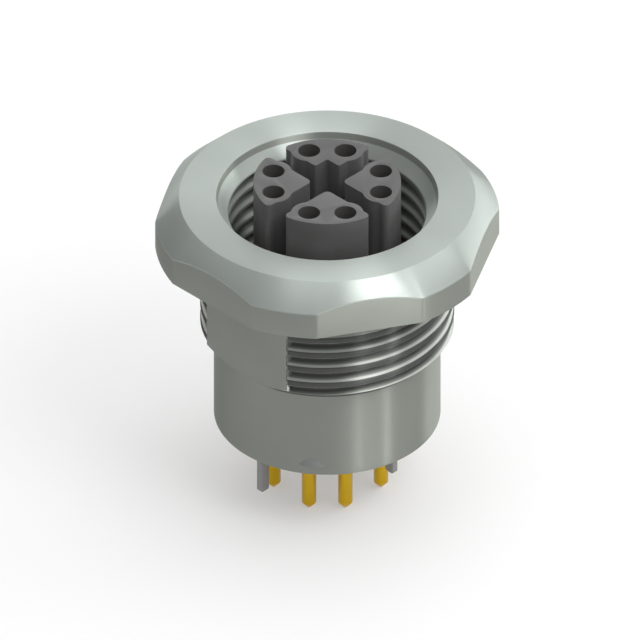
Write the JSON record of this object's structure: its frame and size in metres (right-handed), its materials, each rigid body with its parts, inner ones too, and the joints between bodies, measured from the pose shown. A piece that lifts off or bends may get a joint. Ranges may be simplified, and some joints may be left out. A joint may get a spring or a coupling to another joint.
{
  "type": "circular connector panel receptacle",
  "caption": "Round female panel receptacle with a hexagonal flange, threaded body, four-lobed shielded insert and solder tails for a circuit board.",
  "frame": {"origin": "on the connector's axis, in the underside of the flange, where the panel seats", "axes": "+Z along the axis and out of the mouth, +X to the right and -Y to the front of the picture's view, with the coding notch of the insert at +Y"},
  "size_m": [0.019, 0.019, 0.0198],
  "materials": {
    "nickel": "satin nickel plate on turned metal",
    "carrier_plastic": "moulded dark grey polyamide",
    "insulator_plastic": "moulded mid grey polyamide",
    "gold": "gold plate",
    "tin": "matt tin plate",
    "seal_rubber": "moulded rubber"
  },
  "bodies": {
    "root": {"shell": "nickel", "contact_carrier": "carrier_plastic", "rear_insulator": "insulator_plastic", "shield_plate_long": "tin", "shield_plate_short": "tin", "sealing_ring": "seal_rubber", "contact_1": "gold", "contact_2": "gold", "contact_3": "gold", "contact_4": "gold", "contact_5": "gold", "contact_6": "gold", "contact_7": "gold", "contact_8": "gold"}
  },
  "joints": []
}
